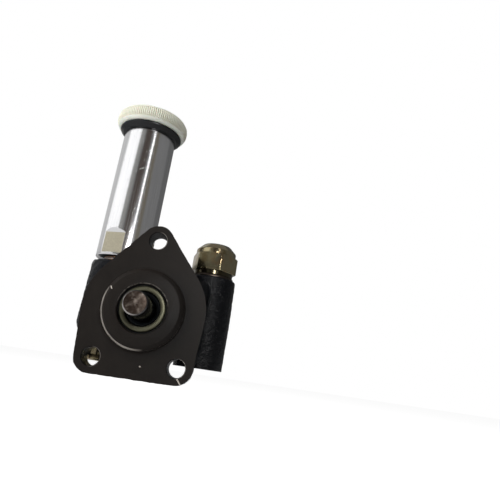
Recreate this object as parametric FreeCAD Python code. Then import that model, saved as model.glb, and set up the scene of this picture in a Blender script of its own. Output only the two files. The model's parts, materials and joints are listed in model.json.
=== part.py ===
import FreeCAD, Part

import math
import os

# Fuel feed pump with hand primer, in millimetres.
# The origin is the centre of the pilot boss on the flange's mounting face, which looks along -Y.
# The push rod comes out of the boss along -Y, and both valve columns and the primer stand along +Z.

# Mounting flange
flange_thickness = 11.0
flange_back_round = 1.2
flange_body_radius = 29.4
lobe_radius = 7.7
top_hole_z = 34.6
low_hole_x = 19.8
low_hole_z = -24.4
bolt_hole_radius = 4.25
nut_face_radius = 8.6
nut_room = 9.0

# Pilot boss, with the seal and the guide of the push rod inside it
boss_radius = 19.3
boss_height = 6.0
boss_chamfer = 1.9
seal_bore_radius = 11.6
seal_bore_depth = 9.0
seal_ring_width = 2.6
seal_ring_thickness = 1.8
seal_ring_inset = 0.6
seal_ring_gap = 0.7
seal_clearance = 0.1
bush_radius = 8.0
bush_length = 21.0
bush_groove_width = 1.9
bush_groove_depth = 1.3
shoulder_thickness = 2.5
shoulder_bore_clearance = 1.0
seal_body_width = 3.4
seal_lip_width = 2.6
seal_lip_heel = 1.2
seal_edge_break = 0.4
groove_clearance = 0.04

# Push rod and piston
rod_radius = 5.5
rod_reach = 24.5
rod_chamfer = 0.6
piston_chamfer = 0.5
rod_stroke = 7.0
piston_radius = 11.0
piston_length = 12.0
piston_wall = 2.2
piston_floor = 4.0
running_clearance = 0.04
rest_gap = 0.05

# Spring chamber behind the piston
chamber_length = 29.0
chamber_wall = 4.8
chamber_draft = 0.9
chamber_root = 2.5
plug_thread_radius = 13.0
plug_thread_length = 8.0
plug_collar_radius = 15.6
plug_collar_height = 2.2
plug_hex_flats = 27.0
plug_hex_height = 8.0
plug_pocket_depth = 5.0
spring_pocket_clearance = 0.6
thread_run_out = 0.5
washer_thickness = 1.5
washer_overhang = 0.4

# Columns of the casting, both at the same depth behind the flange
column_y = 28.0
column_top_z = 24.4
edge_round = 1.6
web_round = 4.0
web_step = 5.0
web_reach = 10.1
suction_x = -21.6
suction_top_radius = 15.3
suction_low_radius = 16.3
suction_low_z = -8.5
inlet_neck_radius = 11.6
inlet_face_z = -23.3
delivery_x = 28.2
delivery_radius = 13.1
delivery_draft = 0.3
outlet_face_z = -22.9

# Valve bores and ports inside the columns
cover_thread_radius = 9.0
cover_thread_depth = 10.5
valve_bore_radius = 8.0
valve_seat_z = 3.0
throat_radius = 4.0
throat_depth = 9.0
port_radius = 6.4
port_depth = 11.5
port_relief = 1.5
port_relief_step = 0.8
adapter_thread_radius = 9.0
adapter_thread_depth = 9.5
adapter_flats = 22.0
adapter_height = 3.0
adapter_turn = 15.0
passage_radius = 2.6
side_passage_radius = 2.0
side_passage_shift = 0.2

# Valves
valve_radius = 6.4
valve_thickness = 1.8
valve_stem_radius = 2.1
valve_stem_length = 4.0
valve_lift = 2.2
valve_spring_radius = 3.4
valve_spring_wire = 0.8
valve_spring_turns = 4
valve_spring_pocket = 2.0
valve_pocket_clearance = 0.4

# Hexagon plug over the delivery valve
valve_plug_flats = 22.0
valve_plug_collar_radius = 11.0
valve_plug_collar_height = 2.4
valve_plug_hex_height = 9.7
valve_plug_crown = 2.4
valve_plug_shoulder = 3.3
valve_plug_dome = 0.3
valve_plug_step = 0.2
valve_plug_top_radius = 7.4
valve_plug_turn = 17.0
valve_plug_bore_radius = 5.2

# Hand primer
barrel_radius = 14.6
barrel_bore_radius = 11.5
barrel_neck_radius = 10.2
barrel_neck_height = 2.0
barrel_lip_chamfer = 1.8
barrel_lip_height = 1.5
barrel_flats = 24.0
barrel_flat_height = 10.5
barrel_flat_turn = -28.0
barrel_flat_ramp = 1.7
barrel_floor = 2.0
barrel_mouth_chamfer = 0.5
barrel_port_radius = 2.5
lock_thread_radius = 12.1
lock_thread_depth = 9.0
primer_piston_length = 12.0
primer_piston_skirt = 4.5
primer_piston_clearance = 0.1
o_ring_wire = 2.0
o_ring_squeeze = 0.03
primer_groove_width = 2.4
primer_skirt_radius = 7.5
primer_rod_radius = 4.0
primer_stud_radius = 3.0
primer_nut_flats = 10.0
primer_nut_height = 3.4
primer_stroke = 38.2
primer_floor_gap = 1.0
primer_stud_cover = 0.6

# Knob with its rubber ring
knob_radius = 20.0
knob_under_radius = 17.4
knob_under_height = 2.4
knob_rim_height = 4.2
knob_top_height = 2.2
knob_top_round = 1.8
knob_hub_radius = 11.9
knob_hub_depth = 8.0
knob_flutes = 112
knob_flute_depth = 0.35
knob_flute_height = 3.9
knob_dish = 1.0
ring_radius = 17.75
ring_low_radius = 16.0
ring_height = 3.3
ring_gap = 0.1
ring_round = 0.9
ring_hub_clearance = 0.3
knob_rod_depth = 2.5
knob_hub_chamfer = 0.6

# Springs
piston_spring_radius = 5.8
piston_spring_wire = 1.5
piston_spring_turns = 7
coil_steps = 12
wire_sides = 6

# Places that follow from the sizes above
boss_face_y = -boss_height
seal_floor_y = boss_face_y + seal_bore_depth
bush_end_y = seal_floor_y + bush_length
chamber_start_y = bush_end_y + shoulder_thickness
chamber_end_y = chamber_start_y + chamber_length
chamber_outer_radius = plug_thread_radius + chamber_wall
plug_thread_start_y = chamber_end_y - plug_thread_length + thread_run_out
piston_front_y = chamber_start_y + rest_gap
passage_end_y = piston_front_y + piston_length + rod_stroke + passage_radius
plug_pocket_y = chamber_end_y - plug_thread_length + plug_pocket_depth
barrel_bottom_z = column_top_z + washer_thickness
barrel_shoulder_z = barrel_bottom_z + barrel_neck_height
flats_z = barrel_shoulder_z + barrel_lip_height
barrel_floor_z = flats_z + barrel_flat_height + barrel_floor
primer_piston_z = barrel_floor_z + primer_floor_gap
barrel_top_z = primer_piston_z + primer_piston_length + primer_stroke + lock_thread_depth
cover_end_z = column_top_z - cover_thread_depth + rest_gap
ring_bottom_z = barrel_top_z + ring_gap
knob_bottom_z = ring_bottom_z + ring_height
plug_head_z = column_top_z + washer_thickness
spring_top_z = cover_end_z + valve_spring_pocket

# Where the middle of a quarter round lies, as a share of its radius
bend = 1 - math.sqrt(0.5)

along_y = FreeCAD.Vector(0, 1, 0)
along_z = FreeCAD.Vector(0, 0, 1)
suction_axis = FreeCAD.Vector(suction_x, column_y, 0)
delivery_axis = FreeCAD.Vector(delivery_x, column_y, 0)
rod_axis = FreeCAD.Vector(0, 0, 0)


def turned(profile, foot, axis):
    """Solid turned about an axis. The profile is a closed loop of (radius, height) points."""
    across = FreeCAD.Vector(1, 0, 0)
    points = []
    for radius, height in profile + profile[:1]:
        points.append(foot + across * radius + axis * height)
    return Part.Face(Part.makePolygon(points)).revolve(foot, axis, 360)


def drilled(radius, start, end):
    """Round bar or drill path from one point to another."""
    return Part.makeCylinder(radius, (end - start).Length, start, end - start)


def upright(radius, axis, low, high):
    """Round bar along +Z on a column's axis."""
    return Part.makeCylinder(radius, high - low, axis + along_z * low, along_z)


def lengthwise(radius, start, end):
    """Round bar along +Y on the push rod's axis."""
    return Part.makeCylinder(radius, end - start, along_y * start, along_y)


def ring(outer, inner, foot, axis, thickness):
    """Flat washer."""
    disc = Part.makeCylinder(outer, thickness, foot, axis)
    return disc.cut(Part.makeCylinder(inner, thickness, foot, axis))


def hexagon(flats, height, foot, axis, turn, foot_bevelled=True):
    """Hexagon head with a 30 degree chamfer at its top, and one at its foot where asked."""
    corner = flats / math.sqrt(3)
    start = FreeCAD.Vector(1, 0, 0) * corner
    points = []
    for k in range(7):
        spin = FreeCAD.Rotation(axis, turn + 60 * k)
        points.append(foot + spin.multVec(start))
    prism = Part.Face(Part.makePolygon(points)).extrude(axis * height)
    bevel = (corner - flats / 2) * math.tan(math.radians(30))
    rim = [(flats / 2, 0), (corner, bevel)] if foot_bevelled else [(corner, 0)]
    top = [(corner, height - bevel), (flats / 2, height), (0, height)]
    envelope = turned([(0, 0)] + rim + top, foot, axis)
    return prism.common(envelope)


def coil(radius, wire, turns, foot, axis, length):
    """Compression spring between two faces, its wire laid in short straight lengths."""
    run = length - wire - 2 * rest_gap
    count = turns * coil_steps
    frame = FreeCAD.Placement(foot + axis * (wire / 2 + rest_gap), FreeCAD.Rotation(along_z, axis))
    points = []
    for k in range(count + 1):
        angle = 2 * math.pi * k / coil_steps
        point = FreeCAD.Vector(radius * math.cos(angle), radius * math.sin(angle), run * k / count)
        points.append(frame.multVec(point))
    out = frame.Rotation.multVec(FreeCAD.Vector(1, 0, 0))
    beside = (points[1] - points[0]).normalize().cross(out).normalize()
    ring_points = []
    for k in range(wire_sides + 1):
        angle = 2 * math.pi * k / wire_sides
        ring_points.append(points[0] + (out * math.cos(angle) + beside * math.sin(angle)) * (wire / 2))
    mitred = 1
    return Part.makePolygon(points).makePipeShell([Part.makePolygon(ring_points)], True, False, mitred)


def o_ring(middle_radius, wire, foot, axis):
    """Rubber ring, its round section laid out with eight sides."""
    profile = []
    for k in range(8):
        angle = math.pi / 8 + 2 * math.pi * k / 8
        profile.append((middle_radius + wire / 2 * math.cos(angle), wire / 2 * math.sin(angle)))
    return turned(profile, foot, axis)


def flange_outline():
    """Outline round the boss circle and the three bolt lobes, as arcs joined by tangent lines."""
    right = (low_hole_x, low_hole_z, lobe_radius)
    left = (-low_hole_x, low_hole_z, lobe_radius)
    top = (0, top_hole_z, lobe_radius)
    middle = (0, 0, flange_body_radius)
    loop = [right, middle, top, middle, left]
    normals = []
    for k, circle in enumerate(loop):
        following = loop[(k + 1) % len(loop)]
        dx = following[0] - circle[0]
        dz = following[1] - circle[1]
        lean = math.acos((circle[2] - following[2]) / math.hypot(dx, dz))
        normals.append(math.atan2(dz, dx) - lean)

    def point(circle, angle):
        x = circle[0] + circle[2] * math.cos(angle)
        z = circle[1] + circle[2] * math.sin(angle)
        return FreeCAD.Vector(x, 0, z)

    edges = []
    for k, circle in enumerate(loop):
        enter = normals[k - 1]
        leave = normals[k]
        while leave < enter:
            leave += 2 * math.pi
        middle_angle = (enter + leave) / 2
        arc = Part.Arc(point(circle, enter), point(circle, middle_angle), point(circle, leave))
        edges.append(arc.toShape())
        following = loop[(k + 1) % len(loop)]
        edges.append(Part.LineSegment(point(circle, leave), point(following, leave)).toShape())
    return Part.Wire(edges)


def flange_plate():
    plate = Part.Face(flange_outline()).extrude(along_y * flange_thickness)
    back_edges = [edge for edge in plate.Edges if edge.BoundBox.YMin > flange_thickness / 2]
    plate = plate.makeFillet(min(flange_back_round, flange_thickness / 4, lobe_radius / 4), back_edges)
    bevel_y = boss_face_y + boss_chamfer
    boss = turned(
        [
            (0, boss_face_y),
            (boss_radius - boss_chamfer, boss_face_y),
            (boss_radius, bevel_y),
            (boss_radius, flange_thickness),
            (0, flange_thickness),
        ],
        rod_axis,
        along_y,
    )
    return plate.fuse(boss)


def suction_column():
    """Left column with its cast draft, and the narrower neck that carries the inlet."""
    top = column_top_z
    low = suction_low_z
    cove = suction_low_radius - inlet_neck_radius
    return turned(
        [
            (0, top),
            (suction_top_radius - edge_round, top),
            (suction_top_radius, top - edge_round),
            (suction_low_radius, low),
            (suction_low_radius - cove * bend, low - cove * (1 - bend)),
            (inlet_neck_radius, low - cove),
            (inlet_neck_radius, inlet_face_z),
            (0, inlet_face_z),
        ],
        suction_axis,
        along_z,
    )


def delivery_column():
    """Right column: widest at the parting line, drawn in a little to both ends."""
    end_radius = delivery_radius - delivery_draft
    middle = (column_top_z + outlet_face_z) / 2
    return turned(
        [
            (0, column_top_z),
            (end_radius - edge_round, column_top_z),
            (end_radius, column_top_z - edge_round),
            (delivery_radius, middle),
            (end_radius, outlet_face_z),
            (0, outlet_face_z),
        ],
        delivery_axis,
        along_z,
    )


def chamber_barrel():
    """Round body of the piston chamber, from its cast root on the flange to its machined rear face."""
    front = chamber_outer_radius + chamber_draft
    rear = chamber_outer_radius
    root = chamber_root
    return turned(
        [
            (0, flange_thickness / 2),
            (front + root, flange_thickness / 2),
            (front + root, flange_thickness),
            (front + root * bend, flange_thickness + root * bend),
            (front, flange_thickness + root),
            (rear, chamber_end_y - edge_round / 2),
            (rear - edge_round / 2, chamber_end_y),
            (0, chamber_end_y),
        ],
        rod_axis,
        along_y,
    )


def rounded_web(x_low, x_high, y_low, y_high, z_low, z_high, fillet):
    """Cast web between two round bodies, its long edges rounded."""
    size = (x_high - x_low, y_high - y_low, z_high - z_low)
    block = Part.makeBox(*size, FreeCAD.Vector(x_low, y_low, z_low))
    edges = []
    for edge in block.Edges:
        direction = edge.tangentAt(edge.FirstParameter)
        if abs(direction.x) > 0.9:
            edges.append(edge)
    return block.makeFillet(min(fillet, size[1] / 2.2, size[2] / 2.2), edges)


def cast_body():
    """The casting before machining."""
    body = flange_plate()
    body = body.fuse(chamber_barrel())
    body = body.fuse(suction_column())
    body = body.fuse(delivery_column())
    web_top = column_top_z - web_step
    back = column_y + web_reach
    root = flange_thickness / 2
    suction_web = rounded_web(suction_x, 0, root, back, suction_low_z, web_top, web_round)
    delivery_web = rounded_web(0, delivery_x, root, back, outlet_face_z + web_step, web_top, web_round)
    return body.fuse(suction_web).fuse(delivery_web)


def valve_bore(axis):
    """Threaded mouth, valve chamber and throat, bored from a column's top."""
    mouth_z = column_top_z - cover_thread_depth
    bore = upright(cover_thread_radius, axis, mouth_z, column_top_z)
    bore = bore.fuse(upright(valve_bore_radius, axis, valve_seat_z, mouth_z))
    return bore.fuse(upright(throat_radius, axis, valve_seat_z - throat_depth, valve_seat_z))


def rod_bores():
    """Seal bore, bush bore, shoulder, piston bore and plug thread, all on the push rod's axis."""
    bores = lengthwise(seal_bore_radius, boss_face_y, seal_floor_y)
    bores = bores.fuse(lengthwise(bush_radius, seal_floor_y, bush_end_y))
    bores = bores.fuse(lengthwise(rod_radius + shoulder_bore_clearance, bush_end_y, chamber_start_y))
    bores = bores.fuse(lengthwise(piston_radius, chamber_start_y, chamber_end_y))
    return bores.fuse(lengthwise(plug_thread_radius, chamber_end_y - plug_thread_length, chamber_end_y))


def fuel_passages():
    """Drillings: suction valve to chamber, chamber to delivery valve, delivery valve to outlet."""
    chamber = FreeCAD.Vector(0, passage_end_y, 0)
    above_suction = suction_axis + along_z * (valve_seat_z + valve_thickness + valve_lift)
    below_delivery = delivery_axis + along_z * (valve_seat_z - throat_depth + passage_radius)
    paths = drilled(passage_radius, above_suction, chamber)
    paths = paths.fuse(drilled(passage_radius, below_delivery, chamber))
    side = delivery_axis + along_y * (valve_bore_radius + side_passage_shift)
    relief_z = outlet_face_z + port_depth
    cover_foot_z = column_top_z - cover_thread_depth
    paths = paths.fuse(upright(side_passage_radius, side, relief_z - port_relief, cover_foot_z))
    relief_radius = port_radius + port_relief_step
    return paths.fuse(upright(relief_radius, delivery_axis, relief_z - port_relief, relief_z))


def bolt_holes():
    """The three holes of the flange, each with a milled face for its nut behind."""
    holes = None
    for x, z in ((0, top_hole_z), (-low_hole_x, low_hole_z), (low_hole_x, low_hole_z)):
        foot = FreeCAD.Vector(x, 0, z)
        hole = drilled(bolt_hole_radius, foot, foot + along_y * flange_thickness)
        back = foot + along_y * flange_thickness
        hole = hole.fuse(drilled(nut_face_radius, back, back + along_y * nut_room))
        holes = hole if holes is None else holes.fuse(hole)
    return holes


def housing():
    body = cast_body()
    body = body.cut(rod_bores())
    body = body.cut(valve_bore(suction_axis))
    body = body.cut(valve_bore(delivery_axis))
    inlet_end = inlet_face_z + adapter_thread_depth
    body = body.cut(upright(adapter_thread_radius, suction_axis, inlet_face_z, inlet_end))
    body = body.cut(upright(throat_radius, suction_axis, inlet_end, valve_seat_z))
    body = body.cut(upright(port_radius, delivery_axis, outlet_face_z, outlet_face_z + port_depth))
    body = body.cut(fuel_passages())
    body = body.cut(bolt_holes())
    return body.removeSplitter()


def seal_ring():
    """Zinc-plated ring that keeps the seal in its bore, with a rolled outer edge."""
    outer = seal_bore_radius - seal_ring_gap
    inner = outer - seal_ring_width
    front = boss_face_y + seal_ring_inset
    back = front + seal_ring_thickness
    roll = seal_ring_thickness * 0.5
    return turned(
        [
            (inner, back),
            (inner, front + seal_edge_break),
            (inner + seal_edge_break, front),
            (outer - roll, front),
            (outer - roll * bend, front + roll * bend),
            (outer, front + roll),
            (outer, back),
        ],
        rod_axis,
        along_y,
    )


def rod_seal():
    """Rubber lip seal round the push rod: a body in the bore, a web behind and a curled lip."""
    outer = seal_bore_radius - seal_clearance
    lip = rod_radius + running_clearance
    front = boss_face_y + seal_ring_inset + seal_ring_thickness + rest_gap
    back = seal_floor_y - rest_gap
    body_inner = outer - seal_body_width
    web = back - seal_lip_heel * 2.5
    curl = lip + seal_lip_width
    return turned(
        [
            (outer, front),
            (outer, back),
            (lip + seal_lip_heel, back),
            (lip, back - seal_lip_heel),
            (lip, back - seal_lip_heel * 2),
            (curl - seal_lip_heel, front + seal_edge_break * 1.5),
            (curl - seal_edge_break, front),
            (curl, front + seal_edge_break * 1.5),
            (curl, web),
            (body_inner, front + seal_lip_heel),
            (body_inner, front),
        ],
        rod_axis,
        along_y,
    )


def guide_bush():
    """Bush that guides the push rod, with a groove for its O-ring."""
    bush = lengthwise(bush_radius, seal_floor_y, bush_end_y)
    bush = bush.cut(lengthwise(rod_radius + running_clearance, seal_floor_y, bush_end_y))
    middle = (seal_floor_y + bush_end_y) / 2
    inner = bush_radius - bush_groove_depth
    foot = along_y * (middle - bush_groove_width / 2)
    return bush.cut(ring(bush_radius + 1, inner, foot, along_y, bush_groove_width))


def bush_o_ring():
    middle = (seal_floor_y + bush_end_y) / 2
    wire = bush_groove_depth - groove_clearance
    return o_ring(bush_radius - bush_groove_depth / 2, wire, along_y * middle, along_y)


def push_rod():
    """Hardened rod with a chamfered end, long enough to meet the piston."""
    end = piston_front_y - rest_gap / 2
    inner = rod_radius - rod_chamfer
    return turned(
        [
            (0, -rod_reach),
            (inner, -rod_reach),
            (rod_radius, -rod_reach + rod_chamfer),
            (rod_radius, end - rod_chamfer),
            (inner, end),
            (0, end),
        ],
        rod_axis,
        along_y,
    )


def piston():
    """Cup piston, open to the rear for its spring."""
    outer = piston_radius - running_clearance
    start = piston_front_y + rest_gap / 2
    end = piston_front_y + piston_length
    inner = outer - piston_wall
    return turned(
        [
            (0, start),
            (outer - piston_chamfer, start),
            (outer, start + piston_chamfer),
            (outer, end),
            (inner, end),
            (inner, start + piston_floor),
            (0, start + piston_floor),
        ],
        rod_axis,
        along_y,
    )


def piston_spring():
    start = piston_front_y + piston_floor + rest_gap
    length = plug_pocket_y - start
    foot = along_y * start
    return coil(piston_spring_radius, piston_spring_wire, piston_spring_turns, foot, along_y, length)


def chamber_plug():
    """Hexagon plug that closes the piston chamber and seats its spring."""
    collar_y = chamber_end_y + washer_thickness
    hex_y = collar_y + plug_collar_height
    pocket_radius = piston_spring_radius + piston_spring_wire / 2 + spring_pocket_clearance
    plug = lengthwise(plug_thread_radius - rest_gap, plug_thread_start_y, collar_y)
    plug = plug.fuse(lengthwise(plug_collar_radius, collar_y, hex_y))
    plug = plug.fuse(hexagon(plug_hex_flats, plug_hex_height, along_y * hex_y, along_y, 0))
    plug = plug.cut(lengthwise(pocket_radius, plug_thread_start_y, plug_pocket_y))
    return plug.removeSplitter()


def chamber_washer():
    outer = plug_collar_radius + washer_overhang
    return ring(outer, plug_thread_radius, along_y * chamber_end_y, along_y, washer_thickness)


def disc_valve(axis):
    """Plate valve with the stem that centres its spring."""
    low = valve_seat_z + rest_gap / 2
    plate = upright(valve_radius, axis, low, low + valve_thickness)
    stem_top = low + valve_thickness + valve_stem_length
    return plate.fuse(upright(valve_stem_radius, axis, low + valve_thickness, stem_top)).removeSplitter()


def valve_spring(axis):
    start = valve_seat_z + rest_gap / 2 + valve_thickness
    foot = axis + along_z * start
    length = spring_top_z - start
    return coil(valve_spring_radius, valve_spring_wire, valve_spring_turns, foot, along_z, length)


def valve_plug():
    """Hexagon plug with a turned crown and dome, over the delivery valve."""
    hex_z = plug_head_z + valve_plug_collar_height
    crown_z = hex_z + valve_plug_hex_height
    shoulder_z = crown_z + valve_plug_crown
    dome_z = shoulder_z + valve_plug_shoulder
    crown_radius = valve_plug_flats / 2
    shoulder_radius = crown_radius - valve_plug_step
    plug = upright(cover_thread_radius - rest_gap, delivery_axis, cover_end_z, plug_head_z)
    plug = plug.fuse(upright(valve_plug_collar_radius, delivery_axis, plug_head_z, hex_z))
    turn = valve_plug_turn - 90
    head_foot = delivery_axis + along_z * hex_z
    head = hexagon(valve_plug_flats, valve_plug_hex_height, head_foot, along_z, turn, foot_bevelled=False)
    plug = plug.fuse(head)
    crown = turned(
        [
            (0, crown_z),
            (crown_radius - rest_gap, crown_z),
            (shoulder_radius, shoulder_z),
            (valve_plug_top_radius, dome_z),
            (0, dome_z + valve_plug_dome),
        ],
        delivery_axis,
        along_z,
    )
    plug = plug.fuse(crown)
    plug = plug.cut(upright(valve_plug_bore_radius, delivery_axis, cover_end_z, spring_top_z))
    return plug.removeSplitter()


def inlet_adapter():
    """Threaded bush with a thin hexagon collar, screwed into the suction column from below."""
    low = inlet_face_z - adapter_height
    top = inlet_face_z + adapter_thread_depth - thread_run_out
    adapter = hexagon(adapter_flats, adapter_height, suction_axis + along_z * low, along_z, adapter_turn)
    adapter = adapter.fuse(upright(adapter_thread_radius - rest_gap, suction_axis, inlet_face_z, top))
    adapter = adapter.cut(upright(port_radius, suction_axis, low, top))
    return adapter.removeSplitter()


def flat_sides():
    """What is milled off the barrel for a spanner: four flats, each with a ramp at its top."""
    near = barrel_flats / 2
    far = barrel_radius + 1
    top = flats_z + barrel_flat_height
    rise = barrel_flat_ramp * (far - near) / (barrel_radius - near)
    outline = [(near, flats_z), (far, flats_z), (far, top + rise), (near, top), (near, flats_z)]
    corners = [FreeCAD.Vector(-far, -reach, height) for reach, height in outline]
    sides = []
    for k in range(4):
        block = Part.Face(Part.makePolygon(corners)).extrude(FreeCAD.Vector(2 * far, 0, 0))
        block.rotate(FreeCAD.Vector(0, 0, 0), along_z, barrel_flat_turn + 90 * k)
        block.translate(suction_axis)
        sides.append(block)
    return sides[0].fuse(sides[1:])


def primer_barrel():
    """Bright turned barrel: threaded stud, neck, lip, spanner flats and the pumping bore."""
    outer = barrel_radius
    mouth_z = barrel_top_z - lock_thread_depth
    stud = cover_thread_radius - rest_gap
    small = valve_spring_radius + valve_spring_wire / 2 + valve_pocket_clearance
    chamfer = barrel_lip_chamfer
    barrel = turned(
        [
            (small, cover_end_z),
            (stud, cover_end_z),
            (stud, barrel_bottom_z),
            (barrel_neck_radius, barrel_bottom_z),
            (barrel_neck_radius, barrel_shoulder_z - chamfer * 0.5),
            (outer - chamfer * 0.6, barrel_shoulder_z),
            (outer - chamfer * 0.15, barrel_shoulder_z + chamfer * 0.3),
            (outer, barrel_shoulder_z + chamfer * 0.8),
            (outer, barrel_top_z - barrel_mouth_chamfer),
            (outer - barrel_mouth_chamfer, barrel_top_z),
            (lock_thread_radius, barrel_top_z),
            (lock_thread_radius, mouth_z),
            (barrel_bore_radius, mouth_z - (lock_thread_radius - barrel_bore_radius)),
            (barrel_bore_radius, barrel_floor_z),
            (barrel_port_radius, barrel_floor_z),
            (barrel_port_radius, spring_top_z),
            (small, spring_top_z),
        ],
        suction_axis,
        along_z,
    )
    return barrel.cut(flat_sides())


def primer_piston():
    """Piston of the hand primer, with a ring groove and a skirt round the nut."""
    outer = barrel_bore_radius - primer_piston_clearance
    low = primer_piston_z
    top = low + primer_piston_length
    web = low + primer_piston_skirt
    groove_low = (web + top - primer_groove_width) / 2
    groove_top = groove_low + primer_groove_width
    groove_radius = barrel_bore_radius - o_ring_wire - 2 * o_ring_squeeze
    hole = primer_stud_radius + running_clearance
    return turned(
        [
            (hole, web),
            (primer_skirt_radius, web),
            (primer_skirt_radius, low),
            (outer, low),
            (outer, groove_low),
            (groove_radius, groove_low),
            (groove_radius, groove_top),
            (outer, groove_top),
            (outer, top),
            (hole, top),
        ],
        suction_axis,
        along_z,
    )


def primer_o_ring():
    web = primer_piston_z + primer_piston_skirt
    middle = (web + primer_piston_z + primer_piston_length) / 2
    radius = barrel_bore_radius - o_ring_wire / 2 - o_ring_squeeze
    return o_ring(radius, o_ring_wire, suction_axis + along_z * middle, along_z)


def primer_rod():
    """Rod from the knob down to the piston, stepped to a stud for the nut."""
    shoulder = primer_piston_z + primer_piston_length + rest_gap
    stud_low = primer_piston_z + primer_stud_cover
    top = knob_bottom_z + knob_under_height + knob_rod_depth
    rod = upright(primer_rod_radius, suction_axis, shoulder, top)
    return rod.fuse(upright(primer_stud_radius, suction_axis, stud_low, shoulder)).removeSplitter()


def primer_nut():
    low = primer_piston_z + primer_piston_skirt - primer_nut_height - rest_gap
    foot = suction_axis + along_z * low
    nut = hexagon(primer_nut_flats, primer_nut_height, foot, along_z, 0)
    return nut.cut(upright(primer_stud_radius, suction_axis, low, low + primer_nut_height))


def fluted_rim(low, high):
    """Upper half of the knob's rim: a prism with a fine zigzag outline."""
    points = []
    for k in range(2 * knob_flutes + 1):
        radius = knob_radius if k % 2 == 0 else knob_radius - knob_flute_depth
        angle = math.pi * k / knob_flutes
        reach = FreeCAD.Vector(radius * math.cos(angle), radius * math.sin(angle), low)
        points.append(suction_axis + reach)
    return Part.Face(Part.makePolygon(points)).extrude(along_z * (high - low))


def knob():
    """Mushroom knob of pale plastic, with the threaded hub that locks it in the barrel."""
    low = knob_bottom_z
    rim_low = low + knob_under_height
    rim_top = rim_low + knob_rim_height
    top = rim_top + knob_top_height
    hub_low = barrel_top_z - knob_hub_depth
    flute_low = rim_top - knob_flute_height
    flare = knob_radius - knob_under_radius
    root = knob_radius - knob_flute_depth
    body = turned(
        [
            (0, hub_low),
            (knob_hub_radius - knob_hub_chamfer, hub_low),
            (knob_hub_radius, hub_low + knob_hub_chamfer),
            (knob_hub_radius, low),
            (knob_under_radius, low),
            (knob_radius - flare * 0.35, low + knob_under_height * 0.45),
            (knob_radius, rim_low),
            (knob_radius, flute_low),
            (root, flute_low),
            (root, rim_top),
            (root - knob_top_round * bend, rim_top + knob_top_height * (1 - bend)),
            (root - knob_top_round, top),
            (root - knob_top_round * 2, top - knob_dish),
            (0, top - knob_dish),
        ],
        suction_axis,
        along_z,
    )
    body = body.fuse(fluted_rim(flute_low, rim_top))
    rod_end = rim_low + knob_rod_depth
    return body.cut(upright(primer_rod_radius, suction_axis, hub_low, rod_end)).removeSplitter()


def knob_ring():
    """Black rubber ring that closes the gap between the knob and the barrel."""
    inner = knob_hub_radius + ring_hub_clearance
    low = ring_bottom_z
    top = knob_bottom_z
    soft = ring_round
    return turned(
        [
            (inner, low),
            (ring_low_radius - soft, low),
            (ring_low_radius - soft * bend, low + soft * bend),
            (ring_low_radius, low + soft),
            (ring_radius, top - soft),
            (ring_radius - soft * bend, top - soft * bend),
            (ring_radius - soft, top),
            (inner, top),
        ],
        suction_axis,
        along_z,
    )


def washer_under(axis, outer):
    return ring(outer, cover_thread_radius, axis + along_z * column_top_z, along_z, washer_thickness)


def pieces():
    return {
        "housing": housing(),
        "seal_ring": seal_ring(),
        "rod_seal": rod_seal(),
        "guide_bush": guide_bush(),
        "bush_o_ring": bush_o_ring(),
        "push_rod": push_rod(),
        "piston": piston(),
        "piston_spring": piston_spring(),
        "chamber_plug": chamber_plug(),
        "chamber_washer": chamber_washer(),
        "suction_valve": disc_valve(suction_axis),
        "suction_spring": valve_spring(suction_axis),
        "delivery_valve": disc_valve(delivery_axis),
        "delivery_spring": valve_spring(delivery_axis),
        "valve_plug": valve_plug(),
        "valve_washer": washer_under(delivery_axis, valve_plug_collar_radius + washer_overhang),
        "inlet_adapter": inlet_adapter(),
        "primer_barrel": primer_barrel(),
        "primer_washer": washer_under(suction_axis, barrel_neck_radius + washer_overhang),
        "primer_piston": primer_piston(),
        "primer_o_ring": primer_o_ring(),
        "primer_rod": primer_rod(),
        "primer_nut": primer_nut(),
        "knob": knob(),
        "knob_ring": knob_ring(),
    }


os.makedirs("parts", exist_ok=True)
for name, shape in pieces().items():
    solids = shape.Solids
    print(name, "solids", len(solids), "valid", shape.isValid(), "volume", round(shape.Volume, 1))
    if len(solids) == 1:
        shape = solids[0]
    shape.exportStep("parts/" + name + ".step")
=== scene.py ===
import json
import math

import bpy
from mathutils import Matrix, Vector


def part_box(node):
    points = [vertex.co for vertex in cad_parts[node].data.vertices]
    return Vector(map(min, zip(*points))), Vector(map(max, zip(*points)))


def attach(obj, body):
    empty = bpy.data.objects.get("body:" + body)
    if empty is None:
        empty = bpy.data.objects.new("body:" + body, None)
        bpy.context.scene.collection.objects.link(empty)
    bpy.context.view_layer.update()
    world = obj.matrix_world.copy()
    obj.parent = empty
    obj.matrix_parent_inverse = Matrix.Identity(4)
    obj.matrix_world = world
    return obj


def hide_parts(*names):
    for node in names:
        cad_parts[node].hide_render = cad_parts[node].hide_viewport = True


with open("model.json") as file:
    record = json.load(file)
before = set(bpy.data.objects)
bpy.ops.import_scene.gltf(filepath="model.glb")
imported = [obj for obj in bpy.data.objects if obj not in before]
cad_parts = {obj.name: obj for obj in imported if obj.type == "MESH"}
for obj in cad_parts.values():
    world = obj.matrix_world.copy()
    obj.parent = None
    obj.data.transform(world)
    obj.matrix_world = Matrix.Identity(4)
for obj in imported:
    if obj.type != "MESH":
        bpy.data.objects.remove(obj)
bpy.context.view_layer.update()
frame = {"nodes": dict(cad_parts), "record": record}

mm = 0.001
mounts = {mount["name"]: mount for mount in frame["record"]["mounts"]}
print("frame:", len(frame["nodes"]), "nodes")


def boxMm(node):
    low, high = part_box(node)
    return low / mm, high / mm


def axisMm(node):
    low, high = boxMm(node)
    return (low + high) / 2


def mountMm(name):
    return Vector(mounts[name]["pos_m"]) / mm


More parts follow.
